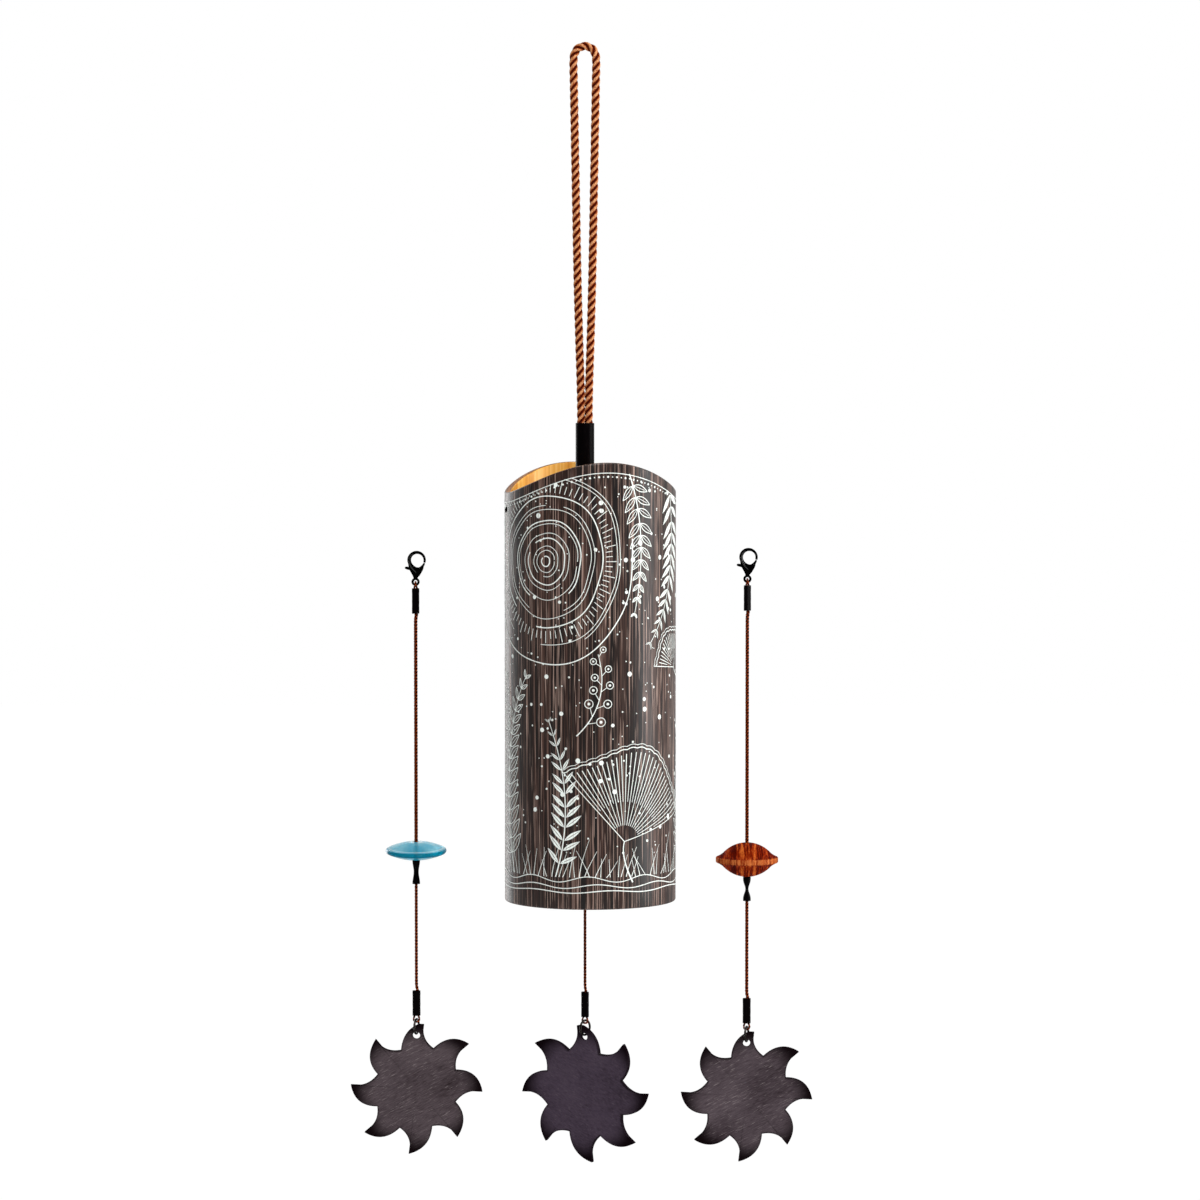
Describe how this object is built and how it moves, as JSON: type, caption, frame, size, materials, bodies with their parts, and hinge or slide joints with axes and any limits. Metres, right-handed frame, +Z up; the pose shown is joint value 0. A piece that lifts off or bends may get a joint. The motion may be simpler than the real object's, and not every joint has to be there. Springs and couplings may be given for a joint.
{
  "type": "bamboo wind chime",
  "caption": "Bamboo wind chime: a saddle-cut tube with tuned rods inside hangs on a twisted rope loop, with a striker strand and sun-shaped sail, and spare strands on clasps.",
  "frame": {"origin": "the hang point, on the inside of the rope loop's top, where a hook bears", "axes": "+Z up, +X to the right of the front view, +Y away from the viewer"},
  "size_m": [0.1736, 0.064, 0.4193],
  "materials": {
    "rope": "satin twisted yarn",
    "cord": "braided, matt",
    "black_sleeve": "semi-gloss",
    "stained_bamboo": "stained, satin varnish",
    "pale_bamboo": "plain",
    "steel": "drawn",
    "black_metal": "black, glossy",
    "gunmetal": "dark plating",
    "acrylic": "translucent teal, polished",
    "red_wood": "turned, satin",
    "turned_disc": "turned, satin",
    "dark_wood": "stained, open pores"
  },
  "bodies": {
    "hanger": {"hanging_rope": "rope", "rope_sleeve": "black_sleeve"},
    "chime": {"bamboo_tube": "stained_bamboo", "cross_pin": "steel", "strand_bail": "steel", "plate_seat_ring": "pale_bamboo", "rod_plate": "steel", "chime_rod_1": "steel", "chime_rod_2": "steel", "chime_rod_3": "steel", "chime_rod_4": "steel", "chime_rod_5": "steel", "chime_rod_6": "steel", "chime_rod_7": "steel", "chime_rod_8": "steel", "plate_screw_1": "steel", "plate_screw_2": "steel", "plate_screw_3": "steel"},
    "main_clasp": {"main_clasp_body": "black_metal", "main_clasp_rivet": "black_metal"},
    "main_gate": {"main_clasp_gate": "black_metal"},
    "main_cord": {"main_upper_sleeve": "black_sleeve", "main_upper_cord": "cord", "main_crimp": "black_sleeve"},
    "main_striker": {"main_striker": "turned_disc"},
    "main_tail": {"main_lower_cord": "cord", "main_lower_sleeve": "black_sleeve"},
    "main_link": {"main_jump_ring": "gunmetal"},
    "main_sail": {"main_sail": "dark_wood"},
    "left_clasp": {"left_clasp_body": "black_metal", "left_clasp_rivet": "black_metal"},
    "left_gate": {"left_clasp_gate": "black_metal"},
    "left_cord": {"left_upper_sleeve": "black_sleeve", "left_upper_cord": "cord", "left_crimp": "black_sleeve"},
    "left_striker": {"left_striker": "acrylic"},
    "left_tail": {"left_lower_cord": "cord", "left_lower_sleeve": "black_sleeve"},
    "left_link": {"left_jump_ring": "gunmetal"},
    "left_sail": {"left_sail": "dark_wood"},
    "right_clasp": {"right_clasp_body": "black_metal", "right_clasp_rivet": "black_metal"},
    "right_gate": {"right_clasp_gate": "black_metal"},
    "right_cord": {"right_upper_sleeve": "black_sleeve", "right_upper_cord": "cord", "right_crimp": "black_sleeve"},
    "right_striker": {"right_striker": "red_wood"},
    "right_tail": {"right_lower_cord": "cord", "right_lower_sleeve": "black_sleeve"},
    "right_link": {"right_jump_ring": "gunmetal"},
    "right_sail": {"right_sail": "dark_wood"}
  },
  "joints": [
    {"name": "chime_swing", "type": "hinge", "parent": "hanger", "child": "chime", "pos_m": [0, 0, -0.1707], "axis": [0.9781, 0.2079, 0], "range_deg": [-25, 25]},
    {"name": "main_clasp_swing", "type": "hinge", "parent": "chime", "child": "main_clasp", "pos_m": [0, 0, -0.18935], "axis": [0.9781, 0.2079, 0], "range_deg": [-2.2, 2.2]},
    {"name": "main_gate_open", "type": "hinge", "parent": "main_clasp", "child": "main_gate", "pos_m": [-0.00019, 0.00088, -0.1945], "axis": [0.9781, 0.2079, 0], "range_deg": [0, 30], "stiffness_Nm_per_rad": 0.01, "springref_deg": -5.73},
    {"name": "main_cord_swing", "type": "hinge", "parent": "main_clasp", "child": "main_cord", "pos_m": [0, 0, -0.1999], "axis": [-0.2079, 0.9781, 0], "range_deg": [-2.2, 2.2]},
    {"name": "main_striker_lift", "type": "slide", "parent": "main_cord", "child": "main_striker", "axis": [0, 0, 1], "range_m": [0, 0.08]},
    {"name": "main_twist", "type": "hinge", "parent": "main_cord", "child": "main_tail", "pos_m": [0, 0, -0.3028], "axis": [0, 0, 1], "continuous": true},
    {"name": "main_ring_tilt", "type": "hinge", "parent": "main_tail", "child": "main_link", "pos_m": [0, 0, -0.3631], "axis": [0.766, -0.6428, 0], "range_deg": [-20, 20]},
    {"name": "main_sail_swing", "type": "hinge", "parent": "main_link", "child": "main_sail", "pos_m": [0, 0, -0.3686], "axis": [0.4226, 0.9063, 0], "range_deg": [-15, 15]},
    {"name": "left_clasp_swing", "type": "hinge", "parent": "hanger", "child": "left_clasp", "pos_m": [-0.0634, 0, -0.18865], "axis": [0, 1, 0], "range_deg": [-3, 25]},
    {"name": "left_gate_open", "type": "hinge", "parent": "left_clasp", "child": "left_gate", "pos_m": [-0.0625, 0, -0.1938], "axis": [0, -1, 0], "range_deg": [0, 30], "stiffness_Nm_per_rad": 0.01, "springref_deg": -5.73},
    {"name": "left_cord_swing", "type": "hinge", "parent": "left_clasp", "child": "left_cord", "pos_m": [-0.0634, 0, -0.1992], "axis": [1, 0, 0], "range_deg": [-20, 20]},
    {"name": "left_striker_lift", "type": "slide", "parent": "left_cord", "child": "left_striker", "axis": [0, 0, 1], "range_m": [0, 0.08]},
    {"name": "left_twist", "type": "hinge", "parent": "left_cord", "child": "left_tail", "pos_m": [-0.0634, 0, -0.3025], "axis": [0, 0, 1], "continuous": true},
    {"name": "left_ring_tilt", "type": "hinge", "parent": "left_tail", "child": "left_link", "pos_m": [-0.0634, 0, -0.3626], "axis": [0.9659, -0.2588, 0], "range_deg": [-20, 20]},
    {"name": "left_sail_swing", "type": "hinge", "parent": "left_link", "child": "left_sail", "pos_m": [-0.0634, 0, -0.3681], "axis": [0, 1, 0], "range_deg": [-15, 15]},
    {"name": "right_clasp_swing", "type": "hinge", "parent": "hanger", "child": "right_clasp", "pos_m": [0.0608, 0, -0.18755], "axis": [0, 1, 0], "range_deg": [-25, 3]},
    {"name": "right_gate_open", "type": "hinge", "parent": "right_clasp", "child": "right_gate", "pos_m": [0.0617, 0, -0.1927], "axis": [0, -1, 0], "range_deg": [0, 30], "stiffness_Nm_per_rad": 0.01, "springref_deg": -5.73},
    {"name": "right_cord_swing", "type": "hinge", "parent": "right_clasp", "child": "right_cord", "pos_m": [0.0608, 0, -0.1981], "axis": [1, 0, 0], "range_deg": [-20, 20]},
    {"name": "right_striker_lift", "type": "slide", "parent": "right_cord", "child": "right_striker", "axis": [0, 0, 1], "range_m": [0, 0.08]},
    {"name": "right_twist", "type": "hinge", "parent": "right_cord", "child": "right_tail", "pos_m": [0.0608, 0, -0.3089], "axis": [0, 0, 1], "continuous": true},
    {"name": "right_ring_tilt", "type": "hinge", "parent": "right_tail", "child": "right_link", "pos_m": [0.0608, 0, -0.3655], "axis": [0.9659, -0.2588, 0], "range_deg": [-20, 20]},
    {"name": "right_sail_swing", "type": "hinge", "parent": "right_link", "child": "right_sail", "pos_m": [0.0608, 0, -0.371], "axis": [0, 1, 0], "range_deg": [-15, 15]}
  ]
}
